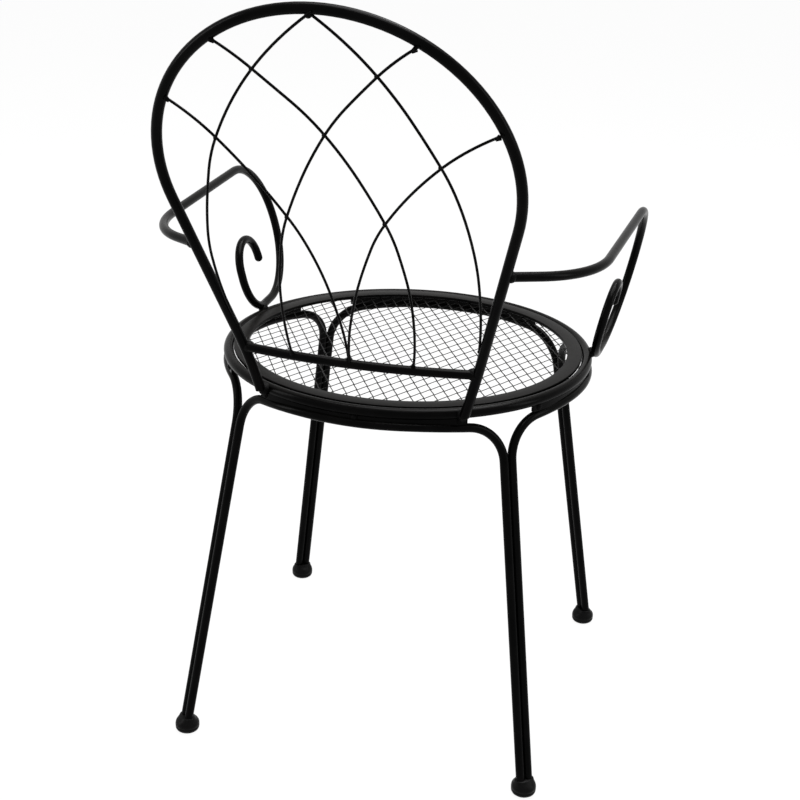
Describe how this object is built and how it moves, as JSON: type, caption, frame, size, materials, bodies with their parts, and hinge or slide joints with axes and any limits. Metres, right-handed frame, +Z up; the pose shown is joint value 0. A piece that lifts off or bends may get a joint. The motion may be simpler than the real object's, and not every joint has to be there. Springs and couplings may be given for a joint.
{
  "type": "garden armchair",
  "caption": "Black steel rod garden armchair with a round mesh seat, a hoop back filled with crossing wires, and arms that end in scrolls.",
  "frame": {"origin": "on the floor, under the middle of the chair's overall width and depth", "axes": "+Z up; -Y is the way the sitter faces, so the back is towards +Y; +X is the sitter's left"},
  "size_m": [0.5052, 0.5965, 0.8809],
  "materials": {
    "seat_rim": "satin black powder coat",
    "seat_band": "satin black powder coat",
    "seat_mesh": "satin black powder coat on expanded steel",
    "leg_loop_rear": "satin black powder coat",
    "leg_loop_right": "satin black powder coat",
    "leg_loop_front": "satin black powder coat",
    "leg_loop_left": "satin black powder coat",
    "loop_spacer_rear": "satin black powder coat",
    "loop_spacer_right": "satin black powder coat",
    "loop_spacer_front": "satin black powder coat",
    "loop_spacer_left": "satin black powder coat",
    "foot_rear_left": "matt black plastic",
    "foot_rear_right": "matt black plastic",
    "foot_front_right": "matt black plastic",
    "foot_front_left": "matt black plastic",
    "back_hoop": "satin black powder coat",
    "back_rail": "satin black powder coat",
    "lattice_wire_outer_left": "satin black powder coat on wire",
    "lattice_wire_outer_right": "satin black powder coat on wire",
    "lattice_wire_inner_left": "satin black powder coat on wire",
    "lattice_wire_inner_right": "satin black powder coat on wire",
    "lattice_wire_top_right": "satin black powder coat on wire",
    "lattice_wire_top_left": "satin black powder coat on wire",
    "arm_left": "satin black powder coat",
    "arm_right": "satin black powder coat",
    "weld_beads_seat": "satin black powder coat over weld",
    "weld_beads_hoop": "satin black powder coat over weld",
    "weld_beads_rail": "satin black powder coat over weld",
    "weld_beads_lattice": "satin black powder coat over weld",
    "weld_beads_arms": "satin black powder coat over weld"
  },
  "bodies": {
    "root": {"seat_rim": "seat_rim", "seat_band": "seat_band", "seat_mesh": "seat_mesh", "leg_loop_rear": "leg_loop_rear", "leg_loop_right": "leg_loop_right", "leg_loop_front": "leg_loop_front", "leg_loop_left": "leg_loop_left", "loop_spacer_rear": "loop_spacer_rear", "loop_spacer_right": "loop_spacer_right", "loop_spacer_front": "loop_spacer_front", "loop_spacer_left": "loop_spacer_left", "foot_rear_left": "foot_rear_left", "foot_rear_right": "foot_rear_right", "foot_front_right": "foot_front_right", "foot_front_left": "foot_front_left", "back_hoop": "back_hoop", "back_rail": "back_rail", "lattice_wire_outer_left": "lattice_wire_outer_left", "lattice_wire_outer_right": "lattice_wire_outer_right", "lattice_wire_inner_left": "lattice_wire_inner_left", "lattice_wire_inner_right": "lattice_wire_inner_right", "lattice_wire_top_right": "lattice_wire_top_right", "lattice_wire_top_left": "lattice_wire_top_left", "arm_left": "arm_left", "arm_right": "arm_right", "weld_beads_seat": "weld_beads_seat", "weld_beads_hoop": "weld_beads_hoop", "weld_beads_rail": "weld_beads_rail", "weld_beads_lattice": "weld_beads_lattice", "weld_beads_arms": "weld_beads_arms"}
  },
  "joints": []
}
